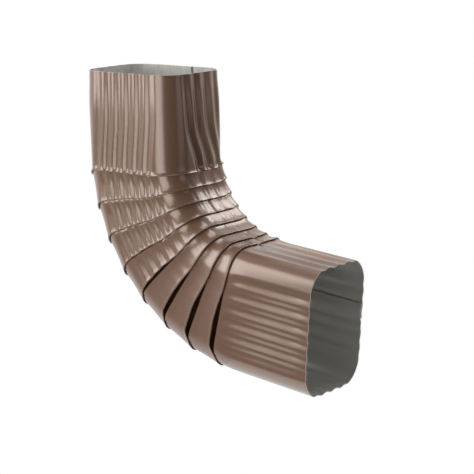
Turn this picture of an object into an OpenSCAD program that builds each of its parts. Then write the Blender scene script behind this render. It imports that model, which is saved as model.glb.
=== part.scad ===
// Rectangular downspout elbow that turns water sideways, folded from one ribbed sheet.
// Each pleat is an S fold: the upstream shell ends in a lip, the sheet doubles back
// under it and comes out again as the next shell. The folds are deep at the throat
// and almost nothing at the heel, which is what bends the tube.
// +Z runs up the inlet leg, the origin is the middle of the inlet opening,
// the throat is toward +X and the outlet points down and toward +X.

/* [Section] */
// Outside width of the tube in the plane of the bend
tube_w = 105; // [90:1:125]
// Outside width of the tube across the plane of the bend
tube_n = 69.5; // [62:0.5:84]
// Corner radius measured along the wide faces
corner_w = 24; // [18:0.5:27]
// Corner radius measured along the narrow faces
corner_n = 19; // [14:0.5:21]
// Thickness of the sheet
sheet_t = 0.6; // [0.5:0.05:0.8]

/* [Ribs] */
// Number of ribs on each wide face
ribs_wide = 5; // [3:2:7]
// Number of ribs on each narrow face
ribs_narrow = 3; // [2:1:4]
// Distance between neighbouring ribs
rib_pitch = 11.8; // [10.5:0.1:12.5]
// Depth of the grooves on the wide faces
groove_w = 1.4; // [0.8:0.1:2.4]
// Depth of the grooves on the narrow faces
groove_n = 2; // [0.8:0.1:2.4]

/* [Legs] */
// Length of the inlet leg along the heel, up to the first lip
inlet_leg = 83.5; // [70:0.5:110]
// Length of the outlet leg along the heel, from the last lip
outlet_leg = 97.5; // [80:0.5:125]
// How far the inlet leg swells out between its rim and the first pleat, on each side
swell = 1.4; // [0:0.1:2.5]

/* [Bend] */
// Angle between the inlet leg and the outlet leg
bend_angle = 85; // [70:1:88]
// Number of pleats
pleats = 8; // [7:1:9]
// Distance between neighbouring lips along the heel
heel_pitch = 31.6; // [29:0.1:35]
// How far the first lip stands out past the tube
first_lip = 2.6; // [1.5:0.1:3]
// How far the last lip stands out past the tube
last_lip = 1.2; // [0.5:0.1:2]
// Open gap inside each fold
fold_gap = 0.5; // [0.35:0.05:0.6]
// Depth of the fold at the heel
heel_tuck = 1; // [0.8:0.1:1.5]
// Lean of every lip toward the outlet, in degrees
lip_lean = 1.2; // [0:0.1:2]

/* [Seam] */
// Width of the lapped seam inside the far wide wall, as a share of the rib spacing
seam_lap = 1.05; // [0.98:0.01:1.12]

/* [Hidden] */
sheet_brown = [0.45, 0.35, 0.30];
kink = bend_angle / pleats;
flat_w = tube_w / 2 - corner_w;
flat_n = tube_n / 2 - corner_n;
pitch_w = pitch(ribs_wide, flat_w, corner_w);
pitch_n = pitch(ribs_narrow, flat_n, corner_n);
hem = 2 * sheet_t + fold_gap;
throat_tuck = 0.32 * tube_w * tan(kink);
fold_dip = 1.2;
seam_a = 1.15 * pitch_w;
seam_b = seam_a - seam_lap * pitch_w;

// Directions in the plane of the bend after a turn of t degrees
function down(t) = [sin(t), 0, -cos(t)];
function across(t) = [cos(t), 0, sin(t)];
function unit(v) = v / norm(v);

// Rib spacing: the grooves at both ends of a face may run onto the corners, but not far
function pitch(n, flat, radius) =
    max(2 * flat, min(rib_pitch * (n + 0.5), 2 * flat + 0.9 * radius)) / (n + 0.5);

// How far round a corner those grooves reach, in degrees
function ribbed(n, p, flat, radius) = asin(max(0, (n + 0.5) * p / 2 - flat) / radius);
end_w = ribbed(ribs_wide, pitch_w, flat_w, corner_w);
end_n = ribbed(ribs_narrow, pitch_n, flat_n, corner_n);

// One face as [distance along it, how deep in a groove], without its end points
function face(n, p, depth) = [for (i = [0:n]) let (g = (i - n / 2) * p) each [
    if (i > 0) [g - p / 4, 0],
    [g, depth],
    if (i < n) [g + p / 4, 0]]];

// The far wide face takes four more points on flat ribs, where the lap begins and ends
seam_ends = [-seam_a, -seam_a + 0.3, -seam_b - 0.3, -seam_b];
far_face = let (f = face(ribs_wide, pitch_w, groove_w))
    [for (i = [0:len(f) - 1]) each [
        f[i],
        for (s = seam_ends) if (i < len(f) - 1 && s > f[i][0] && s <= f[i + 1][0]) [s, 0]]];
function in_seam(t) = t > -seam_a + 0.2 && t < -seam_b - 0.2 ? 1 : 0;

// Points of the section as [x, y, outward x, outward y, groove, seam]
function wide(sy, x, groove, seam = 0) =
    let (a = max(0, abs(x) - flat_w) / corner_w, b = sqrt(1 - a * a))
    [x, sy * (flat_n + corner_n * b), sign(x) * a, sy * b, groove, seam];
function narrow(sx, y, groove) =
    let (a = max(0, abs(y) - flat_n) / corner_n, b = sqrt(1 - a * a))
    [sx * (flat_w + corner_w * b), y, sx * b, sign(y) * a, groove, 0];
function corner(sx, sy) = [for (i = [0:4])
    let (k = (sx * sy > 0 ? i : 4 - i) / 4, t = end_n + (90 - end_w - end_n) * k)
    [sx * (flat_w + corner_w * cos(t)), sy * (flat_n + corner_n * sin(t)),
        sx * cos(t), sy * sin(t), 0, 0]];

// The whole section, counterclockwise from the throat
near_face = face(ribs_wide, pitch_w, groove_w);
side_face = face(ribs_narrow, pitch_n, groove_n);
section = concat(
    [for (q = side_face) narrow(1, q[0], q[1])],
    corner(1, 1),
    [for (q = far_face) wide(1, -q[0], q[1], in_seam(q[0]))],
    corner(-1, 1),
    [for (q = side_face) narrow(-1, -q[0], q[1])],
    corner(-1, -1),
    [for (q = near_face) wide(-1, q[0], q[1])],
    corner(1, -1));
count = len(section);

// Share of the way from the heel to the throat
function reach(q) = min(1, max(0, q[0] / tube_w + 0.5));

// Heel point of every lip, number 0 is the inlet rim and the last one the outlet rim
function heel_step(j) = j == 0 ? inlet_leg * down(0)
    : (j < pleats ? heel_pitch : outlet_leg) * down(j * kink);
function heel(j) = j == 0 ? [-tube_w / 2, 0, 0] : heel(j - 1) + heel_step(j - 1);
function turn(j) = j == 0 ? 0 : j > pleats ? bend_angle : (j - 1) * kink + lip_lean;
function lip(j) = j == 0 ? 0 : j > pleats ? 0
    : first_lip + (last_lip - first_lip) * (j - 1) / (pleats - 1);

// Point of the outer skin: section point q in the plane of lip j, pushed out by e
// and moved down the tube by s
function skin(j, q, e, s = 0) = let (out = e - q[4])
    heel(j) + across(turn(j)) * (tube_w / 2 + q[0] + q[2] * out)
    + down(turn(j)) * s + [0, q[1] + q[3] * out, 0];

// Depth of the fold, which takes up most of the length that the throat has to lose
function tuck(q) = heel_tuck + throat_tuck * reach(q);

// The next shell starts under lip j and runs straight to lip j + 1
function outward(j, q) = across(turn(j)) * q[2] + [0, q[3], 0];
function mouth(j, q) = skin(j, q, lip(j) - hem - fold_gap);
function leg_start(q) = let (far = skin(pleats + 1, q, 0), m = mouth(pleats, q))
    m + (far - m) * 0.22 + outward(pleats, q) * 0.8;
function ahead(j, q) = (j < pleats ? skin(j + 1, q, lip(j + 1)) : leg_start(q)) - mouth(j, q);
function behind(j, q) = skin(j, q, lip(j)) - (j > 1 ? mouth(j - 1, q) : skin(0, q, swell));

// The hidden layers run on in line with the next shell and dip away from the one above
function slope(v, j, q) = v * outward(j, q) / (v * down(turn(j)));
function bottom(j, q) = let (
    v = ahead(j, q),
    w = v / (v * down(turn(j))),
    dip = max(0, slope(behind(j, q), j, q) - slope(v, j, q)))
    mouth(j, q) - (w + outward(j, q) * dip) * tuck(q) - outward(j, q) * fold_dip * reach(q);

function inlet_ring(k, swollen) = [for (q = section) skin(0, q, swollen, 0)
    + (skin(1, q, 0) - skin(0, q, 0)) * k];
rings = concat(
    [inlet_ring(0, 0), inlet_ring(0.3, swell), inlet_ring(0.8, swell)],
    [for (j = [1:pleats]) each [
        [for (q = section) skin(j, q, lip(j))],
        [for (q = section) skin(j, q, lip(j) - hem, 0.3)],
        [for (q = section) bottom(j, q) + outward(j, q) * fold_gap],
        [for (q = section) bottom(j, q)]]],
    [[for (q = section) leg_start(q)],
     [for (q = section) skin(pleats + 1, q, 0)]]);
last = len(rings) - 1;

// Inner skin: one sheet thickness inside, square to the sheet both ways
function side_dir(i, k) = rings[i][(k + 1) % count] - rings[i][(k + count - 1) % count];
function square_to(v, s) = unit(cross(s, v));
function under(i, k) = let (
    s = side_dir(i, k),
    p = rings[i][k],
    a = square_to(i > 0 ? p - rings[i - 1][k] : rings[1][k] - p, s),
    b = square_to(i < last ? rings[i + 1][k] - p : p - rings[last - 1][k], s),
    n = unit(a + b),
    lap = section[k][5] == 1 && (i < 2 || i == last) ? 2.3 : 1)
    p + n * (sheet_t * lap / max(0.7, n * a));
inner = [for (i = [0:last]) [for (k = [0:count - 1]) under(i, k)]];

points = concat([for (r = rings) each r], [for (r = inner) each r]);
size = (last + 1) * count;
function quad(a, b, c, d) = [[a, b, c], [a, c, d]];
faces = concat(
    [for (i = [0:last - 1], k = [0:count - 1]) let (m = (k + 1) % count)
        each quad(i * count + k, i * count + m, (i + 1) * count + m, (i + 1) * count + k)],
    [for (i = [0:last - 1], k = [0:count - 1]) let (m = (k + 1) % count)
        each quad(size + (i + 1) * count + k, size + (i + 1) * count + m,
            size + i * count + m, size + i * count + k)],
    [for (k = [0:count - 1]) let (m = (k + 1) % count)
        each quad(size + k, size + m, m, k)],
    [for (k = [0:count - 1]) let (m = (k + 1) % count, z = last * count)
        each quad(z + k, z + m, size + z + m, size + z + k)]);

module elbow() {
    color(sheet_brown) polyhedron(points = points, faces = faces, convexity = 12);
}

elbow();
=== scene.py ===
import math

import bpy
from mathutils import Matrix, Vector


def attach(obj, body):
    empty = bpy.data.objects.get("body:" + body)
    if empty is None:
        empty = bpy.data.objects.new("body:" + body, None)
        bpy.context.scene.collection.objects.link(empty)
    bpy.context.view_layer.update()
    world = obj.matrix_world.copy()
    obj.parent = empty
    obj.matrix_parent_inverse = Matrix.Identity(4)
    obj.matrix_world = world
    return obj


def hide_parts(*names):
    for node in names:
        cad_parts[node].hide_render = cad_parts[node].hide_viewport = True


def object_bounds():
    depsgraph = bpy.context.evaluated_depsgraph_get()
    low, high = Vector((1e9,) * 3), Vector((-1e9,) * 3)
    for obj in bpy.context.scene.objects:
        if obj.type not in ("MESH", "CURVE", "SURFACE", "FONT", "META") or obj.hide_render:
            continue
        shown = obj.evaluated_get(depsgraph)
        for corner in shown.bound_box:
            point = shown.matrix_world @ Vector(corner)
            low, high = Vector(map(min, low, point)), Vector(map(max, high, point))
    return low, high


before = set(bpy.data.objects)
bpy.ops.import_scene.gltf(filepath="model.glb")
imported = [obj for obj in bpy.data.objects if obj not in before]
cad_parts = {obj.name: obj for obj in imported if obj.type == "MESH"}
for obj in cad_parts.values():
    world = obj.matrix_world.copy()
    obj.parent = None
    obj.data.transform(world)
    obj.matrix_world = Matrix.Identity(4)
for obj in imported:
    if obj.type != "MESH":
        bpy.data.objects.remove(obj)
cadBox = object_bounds()
print("frame loaded", cadBox)


def srgb(r, g, b):
    def lin(c):
        c = c / 255
        return c / 12.92 if c <= 0.04045 else ((c + 0.055) / 1.055) ** 2.4
    return (lin(r), lin(g), lin(b), 1.0)


def addNode(tree, kind, settings=None, sockets=None):
    # one node: its settings first, then the values or links of its sockets
    node = tree.nodes.new(kind)
    for name, value in (settings or {}).items():
        setattr(node, name, value)
    for name, value in (sockets or {}).items():
        if isinstance(value, Val):
            tree.links.new(value.socket, node.inputs[name])
        elif isinstance(value, bpy.types.NodeSocket):
            tree.links.new(value, node.inputs[name])
        else:
            node.inputs[name].default_value = value
    return node


class Val:
    # a float socket with operators, so that node trees read as formulas
    def __init__(self, tree, socket):
        self.tree = tree
        self.socket = socket

    def op(self, name, *others, clamp=False):
        settings = {"operation": name, "use_clamp": clamp}
        node = addNode(self.tree, "ShaderNodeMath", settings, dict(enumerate((self,) + others)))
        return Val(self.tree, node.outputs[0])

    def opFrom(self, name, other):
        node = addNode(self.tree, "ShaderNodeMath", {"operation": name}, {0: other, 1: self})
        return Val(self.tree, node.outputs[0])

    def __add__(self, other):
        return self.op("ADD", other)

    def __radd__(self, other):
        return self.op("ADD", other)

    def __sub__(self, other):
        return self.op("SUBTRACT", other)

    def __rsub__(self, other):
        return self.opFrom("SUBTRACT", other)

    def __mul__(self, other):
        return self.op("MULTIPLY", other)

    def __rmul__(self, other):
        return self.op("MULTIPLY", other)

    def __truediv__(self, other):
        return self.op("DIVIDE", other)

    def __pow__(self, other):
        return self.op("POWER", other)

    def __lt__(self, other):
        return self.op("LESS_THAN", other)

    def __gt__(self, other):
        return self.op("GREATER_THAN", other)

    def __neg__(self):
        return self.op("MULTIPLY", -1)


def fsin(v):
    return v.op("SINE")


def fcos(v):
    return v.op("COSINE")


def ftan(v):
    return v.op("TANGENT")


def fexp(v):
    return v.op("EXPONENT")


def fabs(v):
    return v.op("ABSOLUTE")


def fsign(v):
    return v.op("SIGN")


def floor(v):
    return v.op("FLOOR")


def fract(v):
    return v.op("FRACT")


def fmin(v, other):
    return v.op("MINIMUM", other)


def fmax(v, other):
    return v.op("MAXIMUM", other)


def clamp(v):
    return v.op("ADD", 0, clamp=True)


def mix(a, b, w):
    return (b - a) * w + a


def step(v, lo, hi):
    # 0 at lo and 1 at hi, smooth in between
    t = clamp((v - lo) / (hi - lo))
    return t * t * (3 - 2 * t)


def newGroup(name, sizes):
    tree = bpy.data.node_groups.new(name, "GeometryNodeTree")
    for label, value in sizes.items():
        socket = tree.interface.new_socket(name=label, in_out="INPUT", socket_type="NodeSocketFloat")
        socket.default_value = value
    tree.interface.new_socket(name="Geometry", in_out="OUTPUT", socket_type="NodeSocketGeometry")
    return tree


# degrees and metres, with the focal length in pixels of the photo
cameraFit = {"azimuth": 41.53, "elevation": 12.14, "roll": 1.36, "distance": 1.2464,
             "focal": 1500.4, "offset": (0.07007, -0.13928)}
photoWidth = 474
sensorWidth = 36


def makeCamera(fit):
    az, el, roll = (math.radians(fit[k]) for k in ("azimuth", "elevation", "roll"))
    forward = Vector((-math.sin(az) * math.cos(el), math.cos(az) * math.cos(el), -math.sin(el)))
    right = Vector((math.cos(az), math.sin(az), 0))
    up = right.cross(forward)
    ex = right * math.cos(roll) - up * math.sin(roll)
    ey = right * math.sin(roll) + up * math.cos(roll)
    place = ex * fit["offset"][0] + ey * fit["offset"][1] - forward * fit["distance"]
    data = bpy.data.cameras.new("camera")
    data.sensor_width = sensorWidth
    data.lens = fit["focal"] * sensorWidth / photoWidth
    data.clip_start = 0.01
    data.clip_end = 60
    cam = bpy.data.objects.new("camera", data)
    m = Matrix((ex, ey, -forward)).transposed().to_4x4()
    m.translation = place
    cam.matrix_world = m
    bpy.context.scene.collection.objects.link(cam)
    bpy.context.scene.camera = cam


makeCamera(cameraFit)
print("camera set")


# millimetres and degrees, apart from the shares and the seed
shellSizes = {
    "Tube Width": 105.0, "Tube Depth": 69.5, "Corner Wide": 24.0, "Corner Narrow": 19.0,
    "Rib Pitch": 11.8, "Groove Wide": 1.4, "Groove Narrow": 2.0, "Rim Groove": 0.9,
    "Inlet Leg": 83.5, "Outlet Leg": 97.5, "Swell": 1.2, "Rib Drift": 5.0, "Side Drift": 14.0,
    "Press Length": 13.0, "Press Share": 0.6,
    "Bend Angle": 85.0, "Heel Pitch": 31.6, "First Lip": 2.3, "Last Lip": 1.0,
    "Hem": 1.3, "Fold Gap": 0.25, "Heel Tuck": 1.0, "Throat Tuck": 6.3, "Lip Lean": 1.2,
    "Throat Rise": 1.5, "Heel Drop": 6.5, "Lip Bow": 2.3, "Lip Horn": 1.2, "Open Gap": 4.8,
    "Flare": 0.3, "Sag": 0.6, "Wrinkle": 0.4, "Pinch": 1.6,
    "Lap Start": 0.271, "Lap Share": 0.036, "Lap Lift": 1.7, "Seed": 4.0,
    "Wobble": 0.7, "Flare Length": 2.0, "Lip Highlight Width": 1.5,
}
rows = {"inlet": 14, "fold": 11, "pleat": 21, "outlet": 12}
columns = 250
crowding = 0.4
sheetThickness = 0.0006


def shellTree(sizes, rows, columns, material):
    pleats = 8
    tree = newGroup("elbowShell", sizes)
    group = addNode(tree, "NodeGroupInput")
    size = {k: Val(tree, group.outputs[k]) for k in sizes}
    total = rows["inlet"] + pleats * rows["pleat"] + rows["outlet"]

    grid = addNode(tree, "GeometryNodeMeshGrid", sockets={
        "Size X": columns - 1, "Size Y": total - 1, "Vertices X": columns, "Vertices Y": total})
    position = addNode(tree, "GeometryNodeInputPosition")
    split = addNode(tree, "ShaderNodeSeparateXYZ", sockets={0: position.outputs[0]})
    column = floor(Val(tree, split.outputs[0]) + ((columns - 1) / 2 + 0.5))
    row = floor(Val(tree, split.outputs[1]) + ((total - 1) / 2 + 0.5))

    def noise(x, y, z, detail=1.0):
        # smooth noise between -1 and 1
        at = addNode(tree, "ShaderNodeCombineXYZ", sockets={0: x, 1: y, 2: z})
        clouds = addNode(tree, "ShaderNodeTexNoise", sockets={
            "Vector": at.outputs[0], "Scale": 1.0, "Detail": detail})
        return (Val(tree, clouds.outputs[0]) - 0.5) * 2

    # around the section: w is 0 at the middle of the throat, where the columns are crowded,
    # a0 and y0 are the place in the section, and na and ny point straight out of it
    halfW, halfN = size["Tube Width"] * 0.5, size["Tube Depth"] * 0.5
    rw, rn = size["Corner Wide"], size["Corner Narrow"]
    flatW, flatN = halfW - rw, halfN - rn
    arc = ((rw * rw + rn * rn) * 0.5).op("SQRT") * (math.pi / 2)
    quarter = flatN + arc + flatW
    turned = column / (columns - 1) * (1 + size["Lap Share"]) + size["Lap Start"]
    w = fract(turned - fsin(turned * (2 * math.pi)) * (crowding / (2 * math.pi)))
    m = fabs(((w * 4 + 1).op("MODULO", 2)) - 1)
    signA = fsign(fcos(w * (2 * math.pi)))
    signY = fsign(fsin(w * (2 * math.pi)))
    throatSide = (signA + 1) * 0.5
    s = m * quarter
    turnC = clamp((s - flatN) / arc) * (math.pi / 2)
    na, ny = fcos(turnC), fsin(turnC)
    onWide = ny
    a0 = (flatW - fmax(s - flatN - arc, 0) + rw * na) * signA
    y0 = (fmin(s, flatN) + rn * ny) * signY
    na, ny = na * signA, ny * signY
    lapIn = 1 - step(turned - size["Lap Start"], size["Lap Share"], size["Lap Share"] + 0.012)
    reach = clamp(a0 / size["Tube Width"] + 0.5)

    # along the tube: shell number k, fold row f, share of the way along the visible shell
    local = row - rows["inlet"]
    k = fmin(fmax(floor(local / rows["pleat"]) + 1, 0), pleats)
    isInlet = k < 0.5
    isOutlet = k > pleats - 0.5
    isPleat = (1 - isInlet) * (1 - isOutlet)
    f = local - (k - 1) * rows["pleat"]
    fold = (f < rows["fold"]) * (1 - isInlet)
    length = mix(isOutlet * rows["outlet"] + (rows["pleat"] - rows["fold"]), rows["inlet"], isInlet)
    even = clamp(mix((f - rows["fold"]) / (length - isOutlet), row / rows["inlet"], isInlet))
    lipCrowding, mouthCrowding = 1.6, 1.3
    along = mix(1 - (1 - even) ** lipCrowding, even ** mouthCrowding, isOutlet) * (1 - fold)
    lipNumber = k + (1 - fold)

    # inside a fold the ribs pass from one shell's pattern to the next one's
    ribShell = k - fold * (1 - clamp((f - 5) / (rows["fold"] - 6)))
    inletness, outletness = clamp(1 - ribShell), clamp(ribShell - (pleats - 1))
    pleatness = 1 - inletness - outletness
    alongRib = mix(1, along, isInlet)

    # ribs: waves on the flat faces that drift sideways down the inlet leg and fade on the late shells
    pitch = size["Rib Pitch"]
    drift = inletness * step(alongRib, 0.35, 1.0) * size["Rib Drift"]
    sideways = alongRib * 0.4 + step(alongRib, 0.5, 1.0) * 0.6
    sideDrift = inletness * sideways * size["Side Drift"] * throatSide
    xW = fabs((quarter - s) * signA + drift) / pitch
    xN = fabs(s * signY - sideDrift) / pitch
    onWideFace = step(s, flatN, flatN + arc * 0.7)
    onNarrowFace = 1 - step(s, flatN + arc * 0.2, flatN + arc * 0.6)
    waveW = (xW < 3) * (0.5 - 0.5 * fcos(xW * (2 * math.pi))) * onWideFace
    waveN = (xN < 2) * (0.5 - 0.5 * fcos(xN * (2 * math.pi))) * onNarrowFace
    fade = step(ribShell, 2.8, 5.4) * (1 - outletness * step(along, 0.0, 0.15))
    nearRim = isOutlet * step(along, 0.82, 1.0) + isInlet * (1 - step(along, 0.0, 0.3))
    grooveW = mix(size["Groove Wide"] + isOutlet * 0.4, size["Rim Groove"], nearRim) * (1 - 0.95 * fade)
    grooveN = mix(size["Groove Narrow"], size["Rim Groove"] + isOutlet * 0.5, nearRim) * (1 - 0.8 * fade)
    ribs = waveW * grooveW + waveN * grooveN * (1 - pleatness * 0.8 * throatSide)

    kink = size["Bend Angle"] * (math.pi / 180 / pleats)
    lean = size["Lip Lean"] * (math.pi / 180)

    # the ribs run straight into each lip and come out of the fold shallower
    span = mix(size["Heel Pitch"] - (halfW + a0) * ftan(kink), size["Inlet Leg"], isInlet)
    atMouth = (1 - step(along * span, 0, size["Press Length"])) * (1 - isInlet) * (1 - fold)
    ribs = ribs * (1 - size["Press Share"] * (atMouth + fold * step(f, 5, 9)))

    def heelOf(j):
        # sum of the heel steps before lip j, for j of 1 and more
        n = j - 1
        c = fsin(n * kink * 0.5) / fsin(kink * 0.5) * size["Heel Pitch"]
        hx = fsin((n + 1) * kink * 0.5) * c - halfW
        hz = -(fcos((n + 1) * kink * 0.5) * c) - size["Inlet Leg"]
        return hx, hz

    def planeOf(hx, hz, angle):
        sa, ca = fsin(angle), fcos(angle)

        def point(e, shift):
            # a point of the section in this plane, pushed out by e and moved down the tube by shift
            r = halfW + a0 + na * e
            return (hx + ca * r + sa * shift, y0 + ny * e, hz + sa * r - ca * shift)
        return point

    # on the heel half of the wide faces the lips bow upstream and the late folds stand open
    bowMiddle, bowReach = -25, 38
    throatEnd, heelEnd = (30, -10), (-43, -29)
    bowed = onWide * fcos(clamp(fabs(a0 - bowMiddle) / bowReach) * (math.pi / 2))
    parted = onWide * step(a0, *throatEnd) * step(a0, *heelEnd)

    def openOf(j):
        return size["Open Gap"] * parted * step(j, 2.5, 7.0)

    # each lip ends in a small raised horn at the far corner of the throat
    hornMiddle, hornWidth = 25, 5
    farCorner = (y0 - hornMiddle) / hornWidth
    horn = fexp(-(farCorner * farCorner)) * throatSide

    # at the heel the late folds are pressed nearly flat
    def pressedOf(j):
        return (1 - step(reach, 0.05, 0.25)) * step(j, 3.0, 6.0)

    def lipOf(j):
        plain = size["First Lip"] + (size["Last Lip"] - size["First Lip"]) * ((j - 1) / (pleats - 1))
        plain = plain + 0.6 * step(reach, 0.8, 1.0)
        return plain * (1 - pressedOf(j) * 0.9) + size["Lip Horn"] * horn + openOf(j) * 0.15

    def shiftOf(j):
        # lips rise at the throat, drop at the heel and bow upstream in between
        late = (j - 1) / (pleats - 1)
        rise = size["Throat Rise"] * (1 - late) * step(reach, 0.75, 1.0) + size["Lip Horn"] * 2 * horn
        drop = size["Heel Drop"] * (1 - late * 0.8) * (1 - step(reach, 0.0, 0.12))
        return drop - rise - size["Lip Bow"] * bowed * step(j, 0.5, 2.2) * (1 - step(j, 3.0, 7.0))

    pinchMiddle, pinchDrift, pinchWidth = 8, 9, 2.6

    def pinchOf(j):
        # the crushed spot in the throat of the last two folds
        x = (y0 - pinchMiddle + (j - 7) * pinchDrift) / pinchWidth
        return fexp(-(x * x)) * size["Pinch"] * throatSide * (j > 6.5) * (j < 8.5) * (1 - onWide)

    def add(p, q, weight):
        return tuple(a + b * weight for a, b in zip(p, q))

    def blend(p, q, t):
        return tuple(mix(a, b, t) for a, b in zip(p, q))

    hx, hz = heelOf(fmax(k, 1))
    turnHere = (k - 1) * kink + lean
    here = planeOf(hx, hz, turnHere)
    outHere = (fcos(turnHere) * na, ny, fsin(turnHere) * na)
    hx2, hz2 = heelOf(k + 1)
    there = planeOf(hx2, hz2, k * kink + lean)
    bend = size["Bend Angle"] * (math.pi / 180)
    endX = hx + fsin(bend) * size["Outlet Leg"]
    endZ = hz - fcos(bend) * size["Outlet Leg"]
    rim = planeOf(endX, endZ, bend)
    zero = k * 0
    top = planeOf(zero - halfW, zero, zero)

    # uneven lips: a slow wobble round the section, different on each pleat
    roundX, roundY = fcos(w * (2 * math.pi)), fsin(w * (2 * math.pi))
    wobble = noise(roundX * 2.2, roundY * 2.2, lipNumber * 3.7 + size["Seed"]) * size["Wobble"]

    ridge = -ribs - lapIn * size["Lap Lift"]
    lipHere, lipNext = lipOf(k), lipOf(k + 1)
    gap, opened = size["Fold Gap"], openOf(k)
    hem = size["Hem"] * (1 - pressedOf(k) * 0.4)
    mouth = here(lipHere - hem - gap + ridge - pinchOf(k) * 0.5, shiftOf(k))
    endPleat = there(lipNext + ridge - pinchOf(k + 1), wobble + shiftOf(k + 1) - openOf(k + 1))
    end = blend(endPleat, rim(ridge, zero), isOutlet)
    start = blend(mouth, top(ridge, zero), isInlet)

    # fold rows: round the lip in the tip rows, back under it, and out again after the back rows
    tipRows, backRows = 5, 8
    angle = (1 - clamp(f / tipRows) * 2) * (math.pi / 2)
    half = hem * 0.5
    inTip = f < tipRows + 0.5
    tipE = half * fsin(angle) - half
    lower = -hem - gap * clamp((f - (tipRows + 1)) / 2) - opened * 1.3 * clamp((f - (tipRows + 0.5)) / 2.5)
    layerE = lipHere + mix(lower, tipE, inTip) + ridge - pinchOf(k)
    toMouth = clamp((f - backRows) / (rows["fold"] - backRows)) ** (1 - clamp(opened) * 0.8)
    layerS = half * fcos(angle) * inTip + wobble + shiftOf(k) - opened * (1 - toMouth)
    sunk = size["Heel Tuck"] + size["Throat Tuck"] * reach + opened
    sunk = sunk * clamp((f - tipRows) / 2) * (1 - toMouth)
    ahead = add(end, mouth, -1)
    forward = ahead[0] * fsin(turnHere) - ahead[2] * fcos(turnHere)

    # the hidden layers stay under the shell before them, where it slopes and flares out to its lip
    riseBefore = lipHere - lipOf(k - 1) + hem + gap
    slopeBefore = riseBefore / span * (k > 1.5)
    slopeAhead = sum(v * o for v, o in zip(ahead, outHere)) / forward
    flareBefore = mix(size["Flare"], lipHere - size["Swell"], k < 1.5)
    dip = sunk * fmax(slopeBefore - slopeAhead, 0) + clamp(sunk) * (flareBefore + reach)
    folded = here(layerE, layerS)
    folded = tuple(p - v / forward * sunk - o * dip for p, v, o in zip(folded, ahead, outHere))

    # visible shells: hollow between their lips, wrinkled at the throat
    creases = noise(roundX * 16, roundY * 16, along * 0.7 + k * 5.3, 2.0)
    inside = clamp(along * 4) * clamp((1 - along) * 4)
    nearThroat = step(reach, 0.6, 0.95) * (1 - onWide * 0.9)
    creased = isPleat + isOutlet * (1 - step(along, 0.0, 0.3))
    wrinkle = creases * size["Wrinkle"] * inside * nearThroat * creased
    sag = isPleat * fsin(along * math.pi) * -size["Sag"] * (0.4 + 0.6 * step(reach, 0.3, 0.8))
    run = mix(forward, size["Inlet Leg"], isInlet)
    nearLip = clamp(1 - (1 - along) * run / size["Flare Length"]) ** 2
    flare = -size["Flare"] * (1 - nearLip) * step(along, 0.0, 0.3) * isPleat
    swellE = size["Swell"] * step(along, 0, 0.35) + (lipNext - size["Swell"]) * nearLip - lipNext * along
    outletE = (1 - along) * step(along, 0, 0.2) * (hem + gap - lipHere)
    outE = sag + flare + wrinkle + isInlet * swellE + isOutlet * outletE
    shell = blend(start, end, along)
    shell = add(shell, outHere, outE)
    final = blend(shell, folded, fold)

    place = addNode(tree, "ShaderNodeCombineXYZ", sockets={i: v * 0.001 for i, v in enumerate(final)})
    moved = addNode(tree, "GeometryNodeSetPosition", sockets={
        "Geometry": grid.outputs["Mesh"], "Position": place.outputs[0]})

    # a painted highlight: the visible edge of each fold, painted a lighter tan
    lipHighlightMask = clamp(1 - (1 - along) * span / size["Lip Highlight Width"]) * (1 - isOutlet) * (1 - fold)
    lipHighlightMask = lipHighlightMask + fold * (f < tipRows - 0.5)
    marked = addNode(tree, "GeometryNodeStoreNamedAttribute", {"data_type": "FLOAT", "domain": "POINT"}, {
        "Geometry": moved.outputs[0], "Name": "lip", "Value": lipHighlightMask})
    flipped = addNode(tree, "GeometryNodeFlipFaces", sockets={0: marked.outputs[0]})
    smooth = addNode(tree, "GeometryNodeSetShadeSmooth", sockets={0: flipped.outputs[0]})
    realized = addNode(tree, "GeometryNodeRealizeInstances", sockets={0: smooth.outputs[0]})
    painted = addNode(tree, "GeometryNodeSetMaterial", sockets={
        "Geometry": realized.outputs[0], "Material": material})
    addNode(tree, "NodeGroupOutput", sockets={0: painted.outputs[0]})
    return tree


def plainMaterial(name, look):
    mat = bpy.data.materials.new(name)
    mat.use_nodes = True
    principled = mat.node_tree.nodes["Principled BSDF"]
    for label, value in look.items():
        principled.inputs[label].default_value = value
    return mat


paintLook = {
    "Base Color": srgb(99, 71, 56), "Metallic": 0.0, "Roughness": 0.26, "Specular IOR Level": 0.9,
    "Specular Tint": (1.0, 0.84, 0.75, 1.0), "Coat Weight": 0.3, "Coat Roughness": 0.12,
}
# the lighter tan of the painted highlight along the folded lips
lipHighlightColor = srgb(172, 142, 120)
lipHighlightShare = 0.6
bareLook = {"Base Color": srgb(226, 224, 220), "Metallic": 0.5, "Roughness": 0.26}
edgeLook = {"Base Color": srgb(250, 240, 232), "Metallic": 0.0, "Roughness": 0.35}


def paintMaterial():
    # a painted highlight: the folded lips get a lighter tan mixed into the base colour
    mat = plainMaterial("brownPaint", paintLook)
    tree = mat.node_tree
    lip = addNode(tree, "ShaderNodeAttribute", {"attribute_name": "lip"})
    blend = addNode(tree, "ShaderNodeMix", {"data_type": "RGBA"}, {
        0: Val(tree, lip.outputs["Fac"]) * lipHighlightShare, 6: paintLook["Base Color"], 7: lipHighlightColor})
    tree.links.new(blend.outputs[2], tree.nodes["Principled BSDF"].inputs["Base Color"])
    return mat


def workObject(name, mesh):
    obj = bpy.data.objects.new(name, mesh)
    bpy.context.scene.collection.objects.link(obj)
    return obj


def finishedMesh(obj):
    # what the object's modifiers make of it, as a plain mesh in its place
    bpy.context.view_layer.update()
    mesh = bpy.data.meshes.new_from_object(obj.evaluated_get(bpy.context.evaluated_depsgraph_get()))
    bpy.data.objects.remove(obj)
    return mesh


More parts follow.
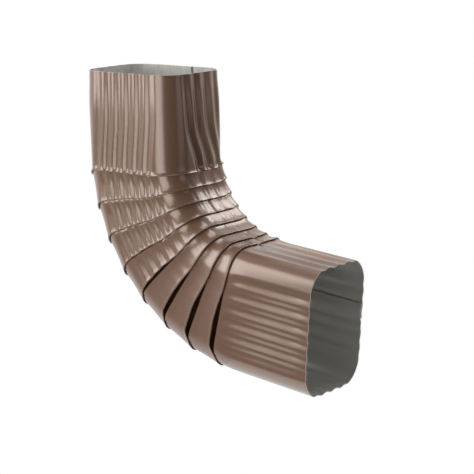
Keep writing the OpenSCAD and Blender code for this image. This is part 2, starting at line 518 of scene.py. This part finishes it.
def shellSkin(material):
    # the painted outer skin from the geometry tree
    tree = shellTree(shellSizes, rows, columns, material)
    base = workObject("shellMaker", bpy.data.meshes.new("shellMaker"))
    mod = base.modifiers.new("shell", "NODES")
    mod.node_group = tree
    for item in tree.interface.items_tree:
        if item.in_out == "INPUT":
            mod[item.identifier] = shellSizes[item.name]
    return finishedMesh(base)


def makeShell():
    paint = paintMaterial()
    skin = shellSkin(paint)
    skin.materials.clear()
    for mat in (paint, plainMaterial("bareInside", bareLook), plainMaterial("cutEdge", edgeLook)):
        skin.materials.append(mat)

    # the sheet's thickness, inward from the painted skin
    work = workObject("shellWork", skin)
    thick = work.modifiers.new("sheet", "SOLIDIFY")
    thick.thickness = sheetThickness
    thick.offset = -1
    thick.use_rim = True
    thick.material_offset = 1
    thick.material_offset_rim = 2
    solid = finishedMesh(work)
    solid.name = "elbowShell"
    solid.set_sharp_from_angle(angle=math.radians(50))
    shell = workObject("elbowShell", solid)
    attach(shell, "root")
    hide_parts("elbow")
    print("shell", len(solid.vertices), "vertices", len(solid.polygons), "faces")


makeShell()


def rayKind(tree, *kinds):
    # 1 for a ray of any of these kinds
    path = addNode(tree, "ShaderNodeLightPath")
    found = Val(tree, path.outputs[kinds[0]])
    for kind in kinds[1:]:
        found = fmax(found, Val(tree, path.outputs[kind]))
    return found


def seenDirectly(tree):
    return rayKind(tree, "Is Camera Ray")


def seenAtAll(tree):
    # straight on, in a reflection or through something clear
    return rayKind(tree, "Is Camera Ray", "Is Glossy Ray", "Is Transmission Ray")


def makeFloor(size, below, glowLevel):
    # the glow lifts the lit floor to white where it is seen, and the shadow stays
    mat = plainMaterial("paleFloor", {
        "Base Color": srgb(236, 236, 236), "Roughness": 0.9, "Specular IOR Level": 0.0,
        "Emission Color": (1, 1, 1, 1)})
    tree = mat.node_tree
    glow = seenAtAll(tree) * glowLevel
    tree.links.new(glow.socket, tree.nodes["Principled BSDF"].inputs["Emission Strength"])
    x = size / 2
    z = cadBox[0][2] - below
    mesh = bpy.data.meshes.new("floor")
    mesh.from_pydata([(-x, -x, z), (x, -x, z), (x, x, z), (-x, x, z)], [], [(0, 1, 2, 3)])
    mesh.materials.append(mat)
    workObject("floor", mesh)


def makeWorld(fillLevel, backdropAzimuth):
    # a white backdrop behind the object that fades into a dark room on the other side
    world = bpy.data.worlds.new("studio")
    bpy.context.scene.world = world
    world.use_nodes = True
    tree = world.node_tree
    fill = tree.nodes["Background"]
    fill.inputs["Color"].default_value = (1, 1, 1, 1)
    fill.inputs["Strength"].default_value = fillLevel
    coord = addNode(tree, "ShaderNodeTexCoord")
    split = addNode(tree, "ShaderNodeSeparateXYZ", sockets={0: coord.outputs["Generated"]})
    turn = math.radians(backdropAzimuth)
    toward = Val(tree, split.outputs[1]) * math.cos(turn) - Val(tree, split.outputs[0]) * math.sin(turn)
    room = step(toward, -0.5, 0.9) * 0.97 + 0.03
    white = addNode(tree, "ShaderNodeBackground", sockets={
        "Color": (1, 1, 1, 1), "Strength": fmax(seenDirectly(tree), room)})
    both = addNode(tree, "ShaderNodeMixShader", sockets={
        0: seenAtAll(tree), 1: fill.outputs[0], 2: white.outputs[0]})
    tree.links.new(both.outputs[0], tree.nodes["World Output"].inputs["Surface"])


def areaLight(name, light):
    data = bpy.data.lights.new(name, "AREA")
    data.shape = "RECTANGLE"
    data.size = light["width"]
    data.size_y = light["height"]
    data.energy = light["power"]
    aim = Vector(light["target"]) - Vector(light["place"])
    obj = workObject(name, data)
    obj.location = light["place"]
    obj.rotation_euler = aim.to_track_quat("-Z", "Y").to_euler()


floorSize = 1.5
floorBelow = 0.8
floorGlow = 0.75
fillLevel = 0.22
middle = (0.06, 0, -0.13)
outletMiddle = (0.13, 0, -0.2)
studioLights = {
    "keyFront": {"place": (-0.12, -1.44, -0.05), "target": middle,
                 "width": 0.75, "height": 1.0, "power": 9.5},
    "sideLeft": {"place": (-0.95, -0.9, 0.38), "target": outletMiddle,
                 "width": 0.7, "height": 1.2, "power": 13},
    "topBack": {"place": (0.3, 1.2, 0.85), "target": middle,
                "width": 0.9, "height": 0.6, "power": 8},
    "sideRight": {"place": (1.35, -0.1, 0.15), "target": middle,
                  "width": 0.8, "height": 0.9, "power": 1.6},
    "topSoft": {"place": (-0.1, 0.1, 1.4), "target": (0, 0, 0),
                "width": 0.8, "height": 0.8, "power": 8},
}

makeFloor(floorSize, floorBelow, floorGlow)
makeWorld(fillLevel, cameraFit["azimuth"])
for lightName, light in studioLights.items():
    areaLight(lightName, light)
bpy.context.scene.view_settings.view_transform = "Standard"
print("stage set")
